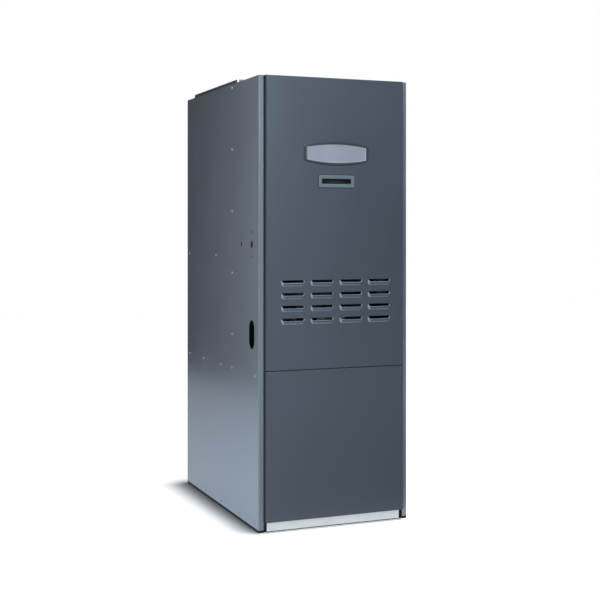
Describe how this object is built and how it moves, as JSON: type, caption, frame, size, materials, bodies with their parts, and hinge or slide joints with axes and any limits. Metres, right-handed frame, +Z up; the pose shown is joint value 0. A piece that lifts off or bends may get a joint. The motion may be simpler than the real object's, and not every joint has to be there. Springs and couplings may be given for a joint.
{
  "type": "oil furnace",
  "caption": "Tall upflow oil furnace cabinet with two lift-off front doors, louvres, a finger pull, a supply flange on top and a rear flue collar.",
  "frame": {"origin": "on the floor, at the middle of the cabinet's plan", "axes": "+X to the right seen from the front, +Y from the doors to the back, +Z up"},
  "size_m": [0.5382, 0.8432, 1.4912],
  "materials": {
    "cabinet_paint": "blue-grey baked enamel on sheet steel",
    "door_paint": "blue-grey baked enamel on sheet steel",
    "galvanised": "galvanised sheet steel",
    "kick": "bright zinc-coated sheet steel",
    "hx_steel": "mill-finish heat exchanger steel",
    "screw_zinc": "yellow-passivated zinc",
    "pull_plastic": "moulded, blue-grey",
    "plate_metal": "satin, with a dark raised border",
    "ceramic_fibre": "soft fibre, off-white",
    "burner_cast": "die-cast, grey",
    "motor_enamel": "dark enamel",
    "fan_steel": "galvanised, formed blades",
    "shaft_steel": "ground",
    "coupling_plastic": "black",
    "pump_cast": "machined grey iron",
    "brass": "turned",
    "copper": null,
    "porcelain": "unglazed insulator",
    "transformer": "black enamel",
    "control_plastic": "dark grey case",
    "red_button": "red",
    "limit_case": "light grey enamel",
    "white_plastic": "white",
    "filter_media": "cardboard frame and pleated media"
  },
  "bodies": {
    "root": {"left_side_panel": "cabinet_paint", "right_side_panel": "cabinet_paint", "back_panel": "cabinet_paint", "top_panel": "cabinet_paint", "center_rail": "cabinet_paint", "base_pan": "galvanised", "blower_deck": "galvanised", "vestibule_panel": "galvanised", "left_heat_shield": "galvanised", "right_heat_shield": "galvanised", "door_clips": "galvanised", "drum_rails": "galvanised", "cleanout_caps": "galvanised", "port_pivot": "galvanised", "burner_studs": "galvanised", "igniter_pin": "galvanised", "junction_box": "galvanised", "junction_cover": "galvanised", "burner_conduit": "galvanised", "limit_conduit": "galvanised", "blower_housing": "galvanised", "motor_mount": "galvanised", "kick_rail": "kick", "combustion_drum": "hx_steel", "radiator": "hx_steel", "flue_collar": "hx_steel", "burner_sleeve": "hx_steel", "port_tube": "hx_steel", "burner_flange": "hx_steel", "blast_tube": "hx_steel", "retention_head": "hx_steel", "cabinet_screws": "screw_zinc", "chamber_liner": "ceramic_fibre", "burner_gasket": "ceramic_fibre", "burner_housing": "burner_cast", "burner_motor": "motor_enamel", "blower_motor": "motor_enamel", "limit_probe": "fan_steel", "fuel_pump": "pump_cast", "nozzle_line": "brass", "fuel_line": "copper", "electrodes": "porcelain", "burner_control": "control_plastic", "limit_control": "limit_case", "air_filter": "filter_media"},
    "upper_door": {"upper_door": "door_paint", "handle_insert": "pull_plastic", "name_plate": "plate_metal"},
    "lower_door": {"lower_door": "door_paint"},
    "blower_rotor": {"blower_wheel": "fan_steel", "blower_shaft": "shaft_steel"},
    "burner_rotor": {"burner_fan": "fan_steel", "burner_shaft": "shaft_steel", "drive_coupling": "coupling_plastic"},
    "air_shutter": {"air_shutter": "fan_steel"},
    "igniter": {"igniter": "transformer"},
    "reset_button": {"reset_button": "red_button"},
    "limit_dial": {"limit_dial": "white_plastic"},
    "fan_button": {"fan_button": "white_plastic"},
    "port_cover": {"port_cover": "galvanised"}
  },
  "joints": [
    {"name": "upper_door_pull", "type": "slide", "parent": "root", "child": "upper_door", "axis": [0, -1, 0], "range_m": [0, 0.25]},
    {"name": "lower_door_pull", "type": "slide", "parent": "root", "child": "lower_door", "axis": [0, -1, 0], "range_m": [0, 0.25]},
    {"name": "blower_spin", "type": "hinge", "parent": "root", "child": "blower_rotor", "pos_m": [0, 0.0063, 0.275], "axis": [1, 0, 0], "continuous": true},
    {"name": "burner_spin", "type": "hinge", "parent": "root", "child": "burner_rotor", "pos_m": [0, -0.2817, 0.633], "axis": [1, 0, 0], "continuous": true},
    {"name": "air_shutter_turn", "type": "hinge", "parent": "root", "child": "air_shutter", "pos_m": [-0.051, -0.2817, 0.633], "axis": [1, 0, 0], "range_deg": [0, 60]},
    {"name": "igniter_lid", "type": "hinge", "parent": "root", "child": "igniter", "pos_m": [0.056, -0.2337, 0.747], "axis": [0, 1, 0], "range_deg": [0, 75]},
    {"name": "reset_press", "type": "slide", "parent": "root", "child": "reset_button", "axis": [0, 1, 0], "range_m": [0, 0.0025], "stiffness_N_per_m": 300},
    {"name": "dial_turn", "type": "hinge", "parent": "root", "child": "limit_dial", "pos_m": [0.15, -0.1907, 1.0842], "axis": [0, -1, 0], "range_deg": [-130, 130]},
    {"name": "fan_button_push", "type": "slide", "parent": "root", "child": "fan_button", "axis": [0, 1, 0], "range_m": [0, 0.0055]},
    {"name": "port_cover_swing", "type": "hinge", "parent": "root", "child": "port_cover", "pos_m": [0, -0.1607, 0.8992], "axis": [0, 1, 0], "range_deg": [0, 100]}
  ]
}
